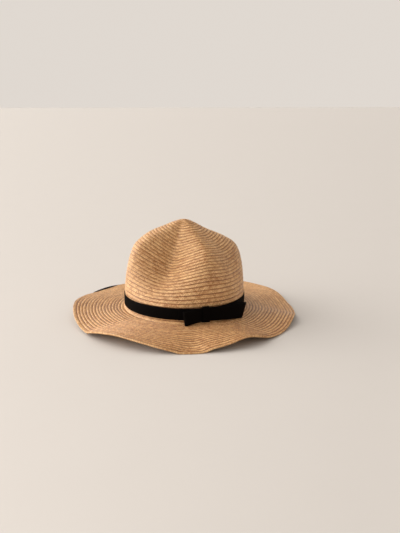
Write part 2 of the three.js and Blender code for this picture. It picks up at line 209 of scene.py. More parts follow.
class HatShape(bpy.types.PropertyGroup):
    head_length: length("Head length", "Inside the crown's foot, front to back", 167)
    head_width: length("Head width", "Inside the crown's foot, side to side", 157)
    wall: length("Straw thickness", "Mean thickness of the sewn braid", 1.8)
    crown_height: length("Crown height", "From the brim's root to the peak", 124.5)
    root_height: length("Root height", "Brim's root above the surface", 12.5)
    brim_width: length("Brim width", "From the crown to the brim's edge", 73)
    fillet: length("Fillet", "Outer radius between crown and brim", 4)
    wave_height: length("Wave height", "Tallest wave of the brim's edge", 16)
    lean: length("Lean", "Rise of the crown's foot on its high side", 2.2)
    lean_azimuth: degrees("Lean azimuth", "Where the high side is", 334)
    course_width: length("Course width", "Visible width of one course of braid", 4.7)


class RibbonShape(bpy.types.PropertyGroup):
    width: length("Ribbon width", "Width of the ribbon round the crown", 15.5)
    thickness: length("Ribbon thickness", "Thickness of the grosgrain", 0.55)
    layer: length("Layer", "Space that one layer takes in the bow", 1.0)
    lift: length("Ribbon lift", "Ribbon's lower edge above the fillet's top", 1.2)
    gap: length("Gap", "Between layers that touch", 0.35)
    bow_azimuth: degrees("Bow azimuth", "Where the bow's knot sits", 83)
    bow_width: length("Bow width", "Width of the bow's ribbon", 18.5)
    rear_length: length("Rear loop", "From the knot's middle to the fold", 57)
    front_length: length("Front loop", "From the knot's middle to the fold", 28)
    lap_length: length("Lap", "Ribbon's free end, sewn over its start", 35)
    knot_width: length("Knot width", "Width of the wrap", 9)
    loop_opening: length("Loop opening", "Between a loop's layers at its fold", 4.5)


class StrapShape(bpy.types.PropertyGroup):
    width: length("Strap width", "Width of the elastic", 8)
    thickness: length("Strap thickness", "Thickness of the elastic", 1.1)
    rest: length("Strap rest", "Lower face above the surface", 0.1)
    gap: length("Strap gap", "Between the sewn ends and the crown's wall", 0.5)


class HatFinish(bpy.types.PropertyGroup):
    straw_light: colour("Light straw", "Palest strands of the braid", (0.95, 0.65, 0.32))
    straw_dark: colour("Dark straw", "Deepest strands of the braid", (0.49, 0.22, 0.06))
    ribbon: colour("Ribbon", "Grosgrain", (0.0026, 0.0019, 0.0018))
    elastic: colour("Elastic", "Chin strap", (0.003, 0.0027, 0.003))
    strand: length("Strand pitch", "From strand to strand along the braid", 2.3)
    rib: length("Rib pitch", "From rib to rib of the grosgrain", 0.85)


class StageSetup(bpy.types.PropertyGroup):
    azimuth: degrees("Camera azimuth", "Round from the hat's front to the wearer's left", 64)
    elevation: degrees("Camera elevation", "Above the surface", 19)
    distance: length("Camera distance", "From the origin", 893)
    focal: number("Focal length", "Lens, in mm", 55.35)
    turn: degrees("Camera turn", "From the origin to the frame's middle, to the right", 1.49)
    tilt: degrees("Camera tilt", "From the origin to the frame's middle, upward", 4.27)
    floor: colour("Floor", "Pale floor", (0.62, 0.6, 0.58))
    # where the floor's painted light fans out from
    painted_light_fan: length("Floor fan", "From the origin to where the floor's shades fan out from", 844.35)
    backdrop: colour("Backdrop", "Light that fills the studio", (0.745, 0.69, 0.635))
    overhead: number("Overhead light", "Light from above, as a share of the backdrop's", 0.83, "FACTOR")
    light_turn: degrees("Light turn", "From the camera's left toward the camera", 1)
    light_elevation: degrees("Light elevation", "Soft light above the surface", 14)
    light_spread: degrees("Light spread", "Width of the soft light", 66)
    light_strength: number("Light strength", "Soft light, in watts a square metre", 2.4)
    light_colour: colour("Light colour", "Tint of the soft light", (1.0, 0.975, 0.94))
    window_turn: degrees("Window turn", "From the camera's left away from the camera", 18)
    window_elevation: degrees("Window elevation", "Window's middle above the surface", 31)
    window_strength: number("Window strength", "Window's light, as a multiple of the backdrop's", 3.8)
    shade: colour("Shade", "Tint of the light from the side away from the window", (0.97, 0.72, 0.42))


def cubic(a, b, c, d, t):
    """Smooth curve through four values, from b at t = 0 to c at t = 1"""
    slope_in, slope_out = (c - a) / 2, (d - b) / 2
    bend = 3 * (c - b) - 2 * slope_in - slope_out
    twist = 2 * (b - c) + slope_in + slope_out
    return b + t * (slope_in + t * (bend + t * twist))


def around_table(rows, columns, name, azimuth):
    """A column of a table that runs once round the hat, at azimuths in degrees"""
    table = np.array(rows, float)
    places, values = table[:, 0], table[:, columns.index(name)]
    count = len(places)
    turn = np.mod(azimuth, 360.0)
    i = np.searchsorted(places, turn, side="right") - 1
    near = [values[np.mod(i + k, count)] for k in (-1, 0, 1, 2)]
    start = places[np.mod(i, count)] - np.where(i < 0, 360.0, 0.0)
    end = places[np.mod(i + 1, count)] + np.where(i + 1 >= count, 360.0, 0.0)
    return cubic(*near, (turn - start) / (end - start))


def along_table(rows, columns, name, where):
    """A column of an evenly read table, at shares from its first row to its last"""
    values = np.array(rows, float)[:, columns.index(name)]
    last = len(values) - 1
    spot = np.clip(where, 0, 1) * last
    i = np.minimum(last - 1, np.floor(spot).astype(int))
    near = [values[np.clip(i + k, 0, last)] for k in (-1, 0, 1, 2)]
    return cubic(*near, spot - i)


def swell_at(azimuth, middle, spread):
    """A round swell, from 0 at its spread to 1 at its middle"""
    away = np.abs(np.mod(azimuth - middle + 540.0, 360.0) - 180.0) / spread
    return np.where(away < 1, np.cos(np.minimum(away, 1) * math.pi / 2) ** 2, 0.0)


def dent_at(azimuth, where):
    """How far the crown is dented, from 0 on a ridge to 1 in a full dent"""
    total = 0.0
    for middle, before, after, shift, depth in DENTS:
        turn = np.mod(azimuth - middle - shift * where**2 + 540.0, 360.0) - 180.0
        away = np.abs(turn) / np.where(turn < 0, before, after)
        top = math.hypot(1, VALLEY_ROUND)
        valley = np.maximum(0, (top - np.hypot(away, VALLEY_ROUND)) / (top - VALLEY_ROUND))
        total = total + depth * valley**2 * (1 + RIDGE_ROUND) / (valley + RIDGE_ROUND)
    return np.minimum(1, total)


def place(azimuth, radius, z):
    """Points from azimuths in degrees, radii and heights"""
    turn = np.radians(azimuth)
    return np.stack(np.broadcast_arrays(radius * np.sin(turn), -radius * np.cos(turn), z), -1)


class StrawFaces:
    """The crown's and brim's outer faces, from the named sizes"""

    def __init__(self, shape):
        self.shape = shape
        self.foot_length = shape.head_length / 2 + shape.wall
        self.foot_width = shape.head_width / 2 + shape.wall
        self.lean_azimuth = math.degrees(shape.lean_azimuth)
        self.crown_courses = round(RIDGE_ARC / shape.course_width)
        self.fillet_courses = shape.fillet * math.pi / 2 / shape.course_width
        self.brim_courses = shape.brim_width / shape.course_width
        self.courses = self.crown_courses + self.fillet_courses + self.brim_courses

    def foot_radius(self, azimuth):
        """The crown's foot is an oval"""
        turn = np.radians(azimuth)
        return 1 / np.hypot(np.sin(turn) / self.foot_width, np.cos(turn) / self.foot_length)

    def lean(self, azimuth, radius):
        """Rise of the tipped crown"""
        return self.shape.lean * radius * np.cos(np.radians(azimuth - self.lean_azimuth)) / self.foot_length

    def crown(self, azimuth, where):
        """Points at shares of the way from the peak to the crown's foot"""
        s = self.shape
        dent = dent_at(azimuth, where)

        def blend(name):
            ridge = along_table(CROWN_SECTIONS, CROWN_COLUMNS, "ridge_" + name, where)
            valley = along_table(CROWN_SECTIONS, CROWN_COLUMNS, "dent_" + name, where)
            return ridge * (1 - dent) + valley * dent

        radius = self.foot_radius(azimuth) * blend("radius")
        swell = sum(
            height * swell_at(azimuth, middle, spread) * np.sin(math.pi * np.clip(where / end, 0, 1)) ** 2
            for middle, spread, height, end in SHOULDERS
        )
        rise = (s.crown_height - s.fillet) * blend("height") + s.crown_height * swell
        return place(azimuth, radius, s.root_height + s.fillet + rise + self.lean(azimuth, radius))

    def root(self, azimuth, where):
        """Points down the round corner between crown and brim"""
        s = self.shape
        turn = where * math.pi / 2
        radius = self.foot_radius(azimuth) + s.fillet * (1 - np.cos(turn))
        z = s.root_height + s.fillet * (1 - np.sin(turn))
        return place(azimuth, radius, z + self.lean(azimuth, self.foot_radius(azimuth)))

    def brim(self, azimuth, where):
        """Points at shares of the way from the brim's root to its edge"""
        s = self.shape
        start = self.root(azimuth, np.ones_like(where))
        root_radius = np.hypot(start[..., 0], start[..., 1])
        columns = WAVE_COLUMNS[1:]
        lift, reach, sag = (around_table(BRIM_WAVES, WAVE_COLUMNS, name, azimuth) for name in columns)
        edge_radius = (self.foot_radius(azimuth) + s.brim_width) * reach
        edge_height = s.wall + s.wave_height * lift
        hang = s.wave_height * sag * 4 * where * (1 - where)
        ease = where * (1 + where) / 2
        radius = root_radius + (edge_radius - root_radius) * where
        z = start[..., 2] + (edge_height - start[..., 2]) * ease - hang
        z = s.wall + REST_ROUND * np.logaddexp(0, (z - s.wall) / REST_ROUND)
        return place(azimuth, radius, z)

    def face(self, azimuth, course):
        """Points of the outer face, at course counts from the peak to the brim's edge"""
        fillet_start = self.crown_courses
        brim_start = fillet_start + self.fillet_courses
        on_crown = self.crown(azimuth, np.clip(course / fillet_start, 0, 1))
        on_root = self.root(azimuth, np.clip((course - fillet_start) / self.fillet_courses, 0, 1))
        brim_shadow = self.brim(azimuth, np.clip((course - brim_start) / self.brim_courses, 0, 1))
        course = course[..., None]
        return np.where(course <= fillet_start, on_crown, np.where(course <= brim_start, on_root, brim_shadow))

    def normal(self, azimuth, course):
        """Outward directions, measured over a fiftieth of a course and a fifth of a degree to each side"""
        step, turn = 0.02, 0.2
        low, high = np.maximum(course - step, 0), np.minimum(course + step, self.courses)
        along = self.face(azimuth, high) - self.face(azimuth, low)
        around = self.face(azimuth + turn, course) - self.face(azimuth - turn, course)
        across = np.cross(along, around)
        size = np.linalg.norm(across, axis=-1, keepdims=True)
        flat = size < 1e-14
        return np.where(flat, (0, 0, 1.0), across / np.where(flat, 1, size))

    def off_crown(self, azimuth, up, standoff, foot, width):
        """Points off the crown at the ribbon: up runs from 0 at its lower edge to 1 at its upper edge"""
        azimuth, up = np.broadcast_arrays(np.asarray(azimuth, float), np.asarray(up, float))
        z = foot + self.lean(azimuth, self.foot_radius(azimuth)) + up * width
        low, high = np.full(z.shape, 0.5), np.ones(z.shape)
        halvings = 30
        for _ in range(halvings):
            middle = (low + high) / 2
            above = self.crown(azimuth, middle)[..., 2] > z
            low, high = np.where(above, middle, low), np.where(above, high, middle)
        point = self.crown(azimuth, (low + high) / 2)
        return place(azimuth, np.hypot(point[..., 0], point[..., 1]) + standoff, z)


class RibbonLay:
    """Where the ribbon and the layers of the bow lie on the crown"""

    def __init__(self, scene):
        shape, ribbon = scene.hat_shape, scene.hat_ribbon
        self.ribbon = ribbon
        self.faces = StrawFaces(shape)
        self.foot = shape.root_height + shape.fillet + ribbon.lift
        self.knot_azimuth = math.degrees(ribbon.bow_azimuth)
        self.radius = float(self.faces.foot_radius(np.array(self.knot_azimuth)))
        self.pitch = ribbon.layer + ribbon.gap
        self.lap = ribbon.gap + self.pitch + ribbon.layer / 2

    def off_crown(self, azimuth, up, standoff):
        return self.faces.off_crown(azimuth, up, standoff, self.foot, self.ribbon.width)

    def to_space(self, distance, standoff, height):
        """Points from distance round the crown from the knot, standoff and height over the lower edge"""
        azimuth = self.knot_azimuth + np.degrees(distance / self.radius)
        return self.off_crown(azimuth, height / self.ribbon.width, standoff)


def new_object(name, points, faces, material, weave=None):
    """A smooth mesh object; weave holds one pair of coordinates for each corner of each face"""
    mesh = bpy.data.meshes.new(name)
    mesh.from_pydata([tuple(p) for p in points], [], [tuple(int(k) for k in f) for f in faces])
    if weave is not None:
        layer = mesh.uv_layers.new(name="weave")
        layer.data.foreach_set("uv", np.asarray(weave, np.float32).ravel())
    work = bmesh.new()
    work.from_mesh(mesh)
    bmesh.ops.remove_doubles(work, verts=work.verts, dist=2e-6)
    bmesh.ops.dissolve_degenerate(work, edges=work.edges, dist=1e-6)
    bmesh.ops.recalc_face_normals(work, faces=work.faces)
    work.to_mesh(mesh)
    work.free()
    mesh.polygons.foreach_set("use_smooth", [True] * len(mesh.polygons))
    mesh.materials.append(material)
    piece = bpy.data.objects.new(name, mesh)
    bpy.context.scene.collection.objects.link(piece)
    return piece


def stand_for(piece, node):
    """Fix a piece to the hat in the place of its plain solid"""
    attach(piece, "root")
    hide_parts(node)


class Nodes:
    """The nodes of a material or world, made by short calls that return sockets"""

    def __init__(self, owner):
        owner.use_nodes = True
        self.owner = owner
        self.tree = owner.node_tree

    def put(self, socket, value):
        if isinstance(value, bpy.types.NodeSocket):
            self.tree.links.new(value, socket)
        else:
            socket.default_value = value

    def make(self, kind, output=0, inputs=(), **settings):
        node = self.tree.nodes.new("ShaderNode" + kind)
        for key, value in settings.items():
            setattr(node, key, value)
        for key, value in dict(inputs).items():
            self.put(node.inputs[key], value)
        return node.outputs[output]

    def math(self, operation, a, b=0.0, c=0.0):
        return self.make("Math", inputs={0: a, 1: b, 2: c}, operation=operation)

    def dot(self, spot, direction):
        return self.make("VectorMath", output=1, inputs={0: spot, 1: direction}, operation="DOT_PRODUCT")

    def mix(self, amount, a, b, blend="MIX"):
        inputs = {0: amount, 6: a, 7: b}
        return self.make("Mix", output=2, inputs=inputs, data_type="RGBA", blend_type=blend)

    def ramp(self, factor, stops):
        """Colour ramp; each stop has a place and a colour or a grey"""
        node = self.tree.nodes.new("ShaderNodeValToRGB")
        self.put(node.inputs[0], factor)
        marks = node.color_ramp.elements
        while len(marks) < len(stops):
            marks.new(0.5)
        for mark, (spot, level) in zip(marks, stops):
            mark.position = spot
            mark.color = opaque(level if hasattr(level, "__len__") else (level,) * 3)
        return node.outputs[0]

    def noise(self, x, y, scale, detail):
        """Noise over two numbers"""
        spot = self.make("CombineXYZ", inputs={0: x, 1: y})
        inputs = {"Vector": spot, "Scale": scale, "Detail": detail}
        return self.make("TexNoise", inputs=inputs, noise_dimensions="2D")

    def tone_of(self, number):
        """A tone from 0 to 1 for each whole number"""
        return self.make("TexWhiteNoise", inputs={"W": number}, noise_dimensions="1D")

    def hump(self, value):
        """A rounded top over each whole step of a value"""
        away = self.math("SUBTRACT", self.math("FRACT", value), 0.5)
        return self.math("COSINE", self.math("MULTIPLY", away, math.pi * 0.92))

    def weave(self):
        """How far along the braid or ribbon, and how far across it"""
        parts = self.tree.nodes.new("ShaderNodeSeparateXYZ")
        self.put(parts.inputs[0], self.make("UVMap", uv_map="weave"))
        return parts.outputs[0], parts.outputs[1]

    def bump(self, height, distance, strength):
        return self.make("Bump", inputs={"Height": height, "Distance": distance, "Strength": strength})

    def finish(self, shader, **inputs):
        """Set the sockets of the shader and hand back the material or world"""
        for key, value in inputs.items():
            self.put(self.tree.nodes[shader].inputs[key.replace("_", " ")], value)
        return self.owner


def opaque(tint):
    return (*tint, 1.0)


def shades(tint, deep, pale):
    """A deeper and a paler shade of one colour"""
    return [opaque([min(1.0, c * factor) for c in tint]) for factor in (deep, pale)]


def straw_material(finish, shape):
    """Plaited paper straw: two sets of slanting strands, sewn in overlapping courses"""
    n = Nodes(bpy.data.materials.new("paper_straw"))
    along, across = n.weave()
    course, rise = n.math("FLOOR", across), n.math("FRACT", across)
    step = n.math("DIVIDE", along, finish.strand)
    slope = n.math("MULTIPLY", rise, shape.course_width / finish.strand)
    right, left = n.math("ADD", step, slope), n.math("SUBTRACT", step, slope)
    right_id, left_id = n.math("FLOOR", right), n.math("FLOOR", left)
    over = n.math("PINGPONG", n.math("ADD", right_id, left_id), 1.0)
    right_top, left_top = n.hump(right), n.hump(left)
    right_height = n.math("MULTIPLY", right_top, n.math("MULTIPLY_ADD", left_top, 0.4, 0.6))
    left_height = n.math("MULTIPLY", left_top, n.math("MULTIPLY_ADD", right_top, 0.4, 0.6))
    plait = n.make("Mix", inputs={0: over, 2: left_height, 3: right_height})

    # each strand has a number of its own, and so a tone of its own
    left_strand = n.math("MULTIPLY_ADD", course, 17.31, n.math("MULTIPLY", left_id, 1.37))
    right_strand = n.math("MULTIPLY_ADD", course, 9.73, n.math("MULTIPLY_ADD", right_id, 2.11, 50.5))
    strand_tone = n.tone_of(n.make("Mix", inputs={0: over, 2: left_strand, 3: right_strand}))
    drift = n.noise(n.math("MULTIPLY", along, TONE_DRIFT), across, 1.0, 3.0)
    tone = n.math("MULTIPLY_ADD", strand_tone, 0.7, n.math("MULTIPLY", n.tone_of(course), 0.2))
    tone = n.math("ADD", tone, n.math("MULTIPLY_ADD", drift, 1.2, -0.53))
    base = n.mix(tone, opaque(finish.straw_dark), opaque(finish.straw_light))

    # painted shade: the grooves between strands are darkened, and each seam gets a painted shadow, more
    # strongly on the brim
    base = n.mix(1.0, base, n.ramp(plait, GROOVE_SHADE), "MULTIPLY")
    low_edge = n.math("MULTIPLY_ADD", plait, 0.14, n.math("SUBTRACT", rise, 0.08))
    seam_shadow = n.ramp(low_edge, SEAM_SHADOWS)
    base = n.mix(SEAM_SHADOW_STRENGTH, base, seam_shadow, "MULTIPLY")
    rising = {0: across, 1: BRIM_START, 2: BRIM_START + 2.0, 4: BRIM_SEAM_SHADOW_STRENGTH}
    # painted shadow: the seams are darkened a second time on the brim
    brim_shadow = n.make("MapRange", inputs=rising)
    base = n.mix(brim_shadow, base, seam_shadow, "MULTIPLY")

    # lockstitch along each course
    off_row = n.math("ABSOLUTE", n.math("SUBTRACT", rise, STITCH_ROW))
    stitch_row = n.math("LESS_THAN", off_row, STITCH_REACH)
    dash = n.math("LESS_THAN", n.math("FRACT", n.math("DIVIDE", along, STITCH_PITCH)), STITCH_LENGTH)
    stitch = n.math("MULTIPLY", stitch_row, dash)
    base = n.mix(n.math("MULTIPLY", stitch, 0.45), base, opaque(STITCH_COLOUR))

    fibre = n.noise(n.math("MULTIPLY", right, 5.0), left, 2.0, 2.0)
    height = n.math("MULTIPLY_ADD", fibre, 0.12, n.math("MULTIPLY_ADD", stitch, -0.18, plait))
    return n.finish(
        "Principled BSDF",
        Base_Color=base,
        Roughness=n.math("MULTIPLY_ADD", strand_tone, 0.14, 0.34),
        Specular_IOR_Level=0.7,
        Normal=n.bump(height, 0.38 * MM, 0.9),
    )


def grosgrain_material(name, tint, rib_pitch, roughness):
    """Black ribbon or elastic whose ribs run across its width"""
    n = Nodes(bpy.data.materials.new(name))
    along, across = n.weave()
    rib = n.math("COSINE", n.math("MULTIPLY", along, 2 * math.pi / rib_pitch))
    rib = n.math("MULTIPLY_ADD", rib, 0.5, 0.5)
    thread = n.math("COSINE", n.math("MULTIPLY", across, 2 * math.pi / WEFT_PITCH))
    grain = n.noise(along, n.math("MULTIPLY", across, 0.25), 900.0, 2.0)
    # painted shade: the colour is deeper in the hollows between ribs and paler on their tops; the grain's
    # tone varies at random
    tone = n.math("MULTIPLY_ADD", rib, 0.45, n.math("MULTIPLY", grain, 0.6))
    height = n.math("MULTIPLY_ADD", thread, 0.07, n.math("MULTIPLY_ADD", grain, 0.15, rib))
    return n.finish(
        "Principled BSDF",
        Base_Color=n.mix(tone, *shades(tint, 0.55, 1.35)),
        Roughness=roughness,
        Specular_IOR_Level=0.04,
        Normal=n.bump(height, 0.16 * MM, 0.8),
    )


def ribbon_material(finish):
    """The grosgrain that band, lap and bow share"""
    name = "black_grosgrain"
    return bpy.data.materials.get(name) or grosgrain_material(name, finish.ribbon, finish.rib, 0.8)


def floor_material(tint, side, away, fan):
    """Pale floor with painted light: evenly paler toward the lit left, its painted shades fanning out from a
    place before the hat
    """
    n = Nodes(bpy.data.materials.new("pale_floor"))
    spot = n.make("TexCoord", output=3)
    depth = n.math("MAXIMUM", n.math("ADD", n.dot(spot, away), fan), 0.1)
    slope = n.math("DIVIDE", n.dot(spot, side), depth)
    deep_end, pale_end = FLOOR_PAINTED_LIGHT
    mottle = n.make("TexNoise", inputs={"Vector": spot, "Scale": 14.0, "Detail": 3.0})
    # painted light: the floor is painted deeper toward the right and paler toward the lit left
    shade = n.make("MapRange", inputs={0: slope, 1: deep_end, 2: pale_end})
    tone = n.math("MULTIPLY_ADD", mottle, 0.12, shade)
    base = n.mix(tone, *shades(tint, 0.93, 1.07))
    return n.finish("Principled BSDF", Base_Color=base, Roughness=0.7, Specular_IOR_Level=0.2)


def studio_world(setup, window_middle):
    """An even backdrop with a wide soft window on one side and a warmer shade away from it"""
    n = Nodes(bpy.data.worlds.new("studio"))
    direction = n.make("TexCoord")
    height = n.make("SeparateXYZ", output=2, inputs={0: direction})
    above = [c * setup.overhead for c in setup.backdrop]
    backdrop = n.ramp(height, tuple(zip(BACKDROP_TOP, (setup.backdrop, above))))
    facing = n.dot(direction, window_middle)
    fade_start, fade_end = WINDOW_FADE
    window = n.make(
        "MapRange",
        inputs={0: facing, 1: fade_start, 2: fade_end, 4: setup.window_strength},
        interpolation_type="SMOOTHSTEP",
    )
    terms = {0: window, 1: setup.backdrop, 2: backdrop}
    light = n.make("VectorMath", inputs=terms, operation="MULTIPLY_ADD")
    shade = n.ramp(n.math("MULTIPLY_ADD", facing, 0.5, 0.5), ((0.0, setup.shade), (SHADE_END, 1.0)))
    light = n.make("VectorMath", inputs={0: light, 1: shade}, operation="MULTIPLY")
    return n.finish("Background", Color=light)


class HAT_OT_stage(bpy.types.Operator):
    """Set up the camera, the pale floor and the soft light"""

    bl_idname = "hat.stage"
    bl_label = "Camera, floor and light"

    def execute(self, context):
        scene = context.scene
        setup = scene.hat_stage
        turn = setup.azimuth
        side = Vector((math.cos(turn), math.sin(turn), 0.0))
        toward = Vector((math.sin(turn), -math.cos(turn), 0.0))
        self.set_camera(scene, setup, side, toward)

        half = FLOOR_HALF
        corners = [(-half, -half, 0), (half, -half, 0), (half, half, 0), (-half, half, 0)]
        pale = floor_material(setup.floor, side, -toward, setup.painted_light_fan)
        new_object("floor", corners, [(0, 1, 2, 3)], pale)

        def aim(turn, height):
            """Direction to a light, from its turn toward the camera and its height"""
            level = side * -math.cos(turn) + toward * math.sin(turn)
            return level * math.cos(height) + Vector((0, 0, math.sin(height)))

        self.set_light(scene, setup, aim(setup.light_turn, setup.light_elevation))
        scene.world = studio_world(setup, aim(-setup.window_turn, setup.window_elevation))
        scene.view_settings.view_transform = "Standard"
        return {"FINISHED"}

    def set_camera(self, scene, setup, side, toward):
        back = toward * math.cos(setup.elevation) + Vector((0, 0, math.sin(setup.elevation)))
        ahead = Matrix.Rotation(setup.tilt, 3, side) @ -back
        ahead = Matrix.Rotation(-setup.turn, 3, "Z") @ ahead
        right = ahead.cross(Vector((0, 0, 1))).normalized()
        pose = Matrix((right, right.cross(ahead), -ahead)).transposed().to_4x4()
        pose.translation = back * setup.distance
        lens = bpy.data.cameras.new("camera")
        lens.sensor_fit = "HORIZONTAL"
        lens.sensor_width = 36.0
        lens.lens = setup.focal
        camera = bpy.data.objects.new("camera", lens)
        camera.matrix_world = pose
        scene.collection.objects.link(camera)
        bpy.context.scene.camera = camera

    def set_light(self, scene, setup, source):
        data = bpy.data.lights.new("key_light", "SUN")
        data.energy = setup.light_strength
        data.angle = setup.light_spread
        data.color = setup.light_colour
        key = bpy.data.objects.new("key_light", data)
        key.rotation_euler = (-source).to_track_quat("-Z", "Y").to_euler()
        scene.collection.objects.link(key)


def catmull_rom(points, samples):
    """Centripetal spline through the points, sampled evenly along its length"""
    points = [np.array(p, float) for p in points]
    ends = [2 * points[0] - points[1], *points, 2 * points[-1] - points[-2]]
    dense = []
    for i in range(1, len(ends) - 2):
        p0, p1, p2, p3 = ends[i - 1 : i + 3]
        d0, d1, d2 = (max(np.linalg.norm(b - a) ** 0.5, 1e-9) for a, b in ((p0, p1), (p1, p2), (p2, p3)))
        m1 = ((p1 - p0) / d0 - (p2 - p0) / (d0 + d1) + (p2 - p1) / d1) * d1
        m2 = ((p2 - p1) / d1 - (p3 - p1) / (d1 + d2) + (p3 - p2) / d2) * d1
        for t in np.linspace(0, 1, 40, endpoint=i == len(ends) - 3):
            a, b = 2 * p1 - 2 * p2 + m1 + m2, -3 * p1 + 3 * p2 - 2 * m1 - m2
            dense.append(((a * t + b) * t + m1) * t + p1)
    dense = np.array(dense)
    run = run_along(dense)
    even = np.linspace(0, run[-1], samples)
    return np.stack([np.interp(even, run, dense[:, k]) for k in range(3)], 1), run[-1]


def run_along(points):
    """How far each point of a line is from its start"""
    return np.concatenate(([0], np.cumsum(np.linalg.norm(np.diff(points, axis=0), axis=1))))


class Draft:
    """A mesh in the making: its points, its faces and the weave coordinates of their corners"""

    def __init__(self, points=()):
        self.points = list(points)
        self.faces = []
        self.weave = []

    def add(self, corners, weave):
        self.faces.append(corners)
        self.weave.extend(weave)

    def add_patch(self, corners, along, across):
        """A face of four corners: start and end of its low side, then end and start of its high side"""
        (start, end), (low, high) = along, across
        self.add(corners, [(start, low), (end, low), (end, high), (start, high)])

    def finish(self, name, material):
        return new_object(name, self.points, self.faces, material, self.weave)


def swept(name, rings, run, widths, material):
    """A closed band from rings of equal size, whose weave runs along it and round each ring in metres"""
    count, size = len(rings), len(rings[0])
    draft = Draft(np.reshape(rings, (-1, 3)))
    for i in range(count - 1):
        here, ahead = i * size, (i + 1) * size
        for j in range(size):
            k = (j + 1) % size
            draft.add_patch((here + j, ahead + j, ahead + k, here + k), run[i : i + 2], widths[j : j + 2])
    for i, order in ((0, range(size)), (count - 1, range(size - 1, -1, -1))):
        draft.add([i * size + j for j in order], [(run[i], widths[j]) for j in order])
    return draft.finish(name, material)


class HAT_OT_chin_strap(bpy.types.Operator):
    """Lay the elastic chin strap on the surface, its two ends sewn inside the crown"""

    bl_idname = "hat.chin_strap"
    bl_label = "Chin strap"

    def execute(self, context):
        scene = context.scene
        shape, strap, finish = scene.hat_shape, scene.hat_strap, scene.hat_finish
        wall = shape.head_width / 2 - strap.gap - strap.thickness / 2
        lying = strap.rest + strap.thickness / 2
        points = [(-wall - out * MM, 0, height * MM) for height, out, _ in STRAP_ENDS]
        points += [(x * MM, y * MM, lying) for x, y in STRAP_ROUTE]
        points += [(wall - inward * MM, 0, height * MM) for height, _, inward in reversed(STRAP_ENDS)]
        middle, run = catmull_rom(points, 420)
        middle[:, 2] = np.maximum(middle[:, 2], lying)
        ahead = np.gradient(middle, axis=0)
        ahead /= np.linalg.norm(ahead, axis=1)[:, None]
        across = np.stack([ahead[:, 1], -ahead[:, 0], np.zeros(len(ahead))], 1)
        across /= np.linalg.norm(across, axis=1)[:, None]
        up = np.cross(across, ahead)
        section = self.section(strap.width / 2, strap.thickness / 2)
        rings = [[m + a * s + u * h for s, h in section] for m, a, u in zip(middle, across, up)]
        widths = [s for s, _ in section] + [section[0][0]]
        material = grosgrain_material("woven_elastic", finish.elastic, ELASTIC_RIB, 0.75)
        piece = swept("elastic_strap", rings, np.linspace(0, run, len(middle)), widths, material)
        stand_for(piece, "chin_strap")
        return {"FINISHED"}

    def section(self, half, thick):
        """Flat elastic cut across: thicker in its middle and at its two beaded edges"""
        bead = half - 0.35 * MM
        lower = [
            (-half, -0.35 * thick),
            (-bead, -thick),
            (-half / 2, -0.9 * thick),
            (0, -thick),
            (half / 2, -0.9 * thick),
            (bead, -thick),
            (half, -0.35 * thick),
        ]
        return lower + [(-s, -h) for s, h in lower]


def spiral_skin(faces, profile, depth, press):
    """Rows of points along the spiral of braid. The profile is one course's face, depth is how far in the
    skin lies, and press gives the share of the relief that is left at a place"""
    shares, heights = np.array(profile).T
    turns = math.ceil(faces.courses) + 1
    rows = (np.arange(-1, turns)[:, None] + shares).ravel()
    azimuth = np.linspace(0, 360, STRAW_COLUMNS + 1)
    spiral = rows[:, None] + azimuth / 360
    waver = sum(size * np.sin(2 * math.pi * spiral * times + start) for size, times, start in SEAM_WAVER)
    course = np.clip(spiral + waver, 0, faces.courses)
    around = np.broadcast_to(azimuth, course.shape)
    points = faces.face(around, course)
    relief = np.tile(heights * MM, turns + 1)[:, None] * press(around, course, points)
    # the first course starts flat at the peak
    relief = relief * np.clip(course / 0.8, 0, 1)
    points = points + faces.normal(around, course) * (relief - depth)[..., None]
    points[..., 2] = np.maximum(points[..., 2], STRAW_LOWEST)
    return points


def add_skin(draft, grid, profile):
    """Faces between the rows of a skin; each turn of the spiral joins the next one. Returns its last row"""
    first, count, size = len(draft.points), len(grid), len(profile)
    draft.points.extend(grid[:, :STRAW_COLUMNS].reshape(-1, 3))

    def corner(row, column):
        if column < STRAW_COLUMNS:
            return first + row * STRAW_COLUMNS + column
        return first + min(row + size, count - 1) * STRAW_COLUMNS

    steps = np.linalg.norm(np.diff(grid[size // 2 :: size], axis=1), axis=2)
    run = np.concatenate((np.zeros((len(steps), 1)), np.cumsum(steps, 1)), 1)
    run += np.concatenate(([0], np.cumsum(run[:-1, -1])))[:, None]
    shares = [share for share, _ in profile]
    shares.append(1 + shares[0])
    inset = 0.002  # keeps each face's weave within its own course
    for r in range(count - 1):
        turn, j = divmod(r, size)
        low, high = turn + max(shares[j], inset), turn + min(shares[j + 1], 1 - inset)
        at = run[min(turn, len(run) - 1)]
        for c in range(STRAW_COLUMNS):
            corners = (corner(r, c), corner(r + 1, c), corner(r + 1, c + 1), corner(r, c + 1))
            draft.add(corners, [(at[c], low), (at[c], high), (at[c + 1], high), (at[c + 1], low)])
    return first + (count - 1) * STRAW_COLUMNS


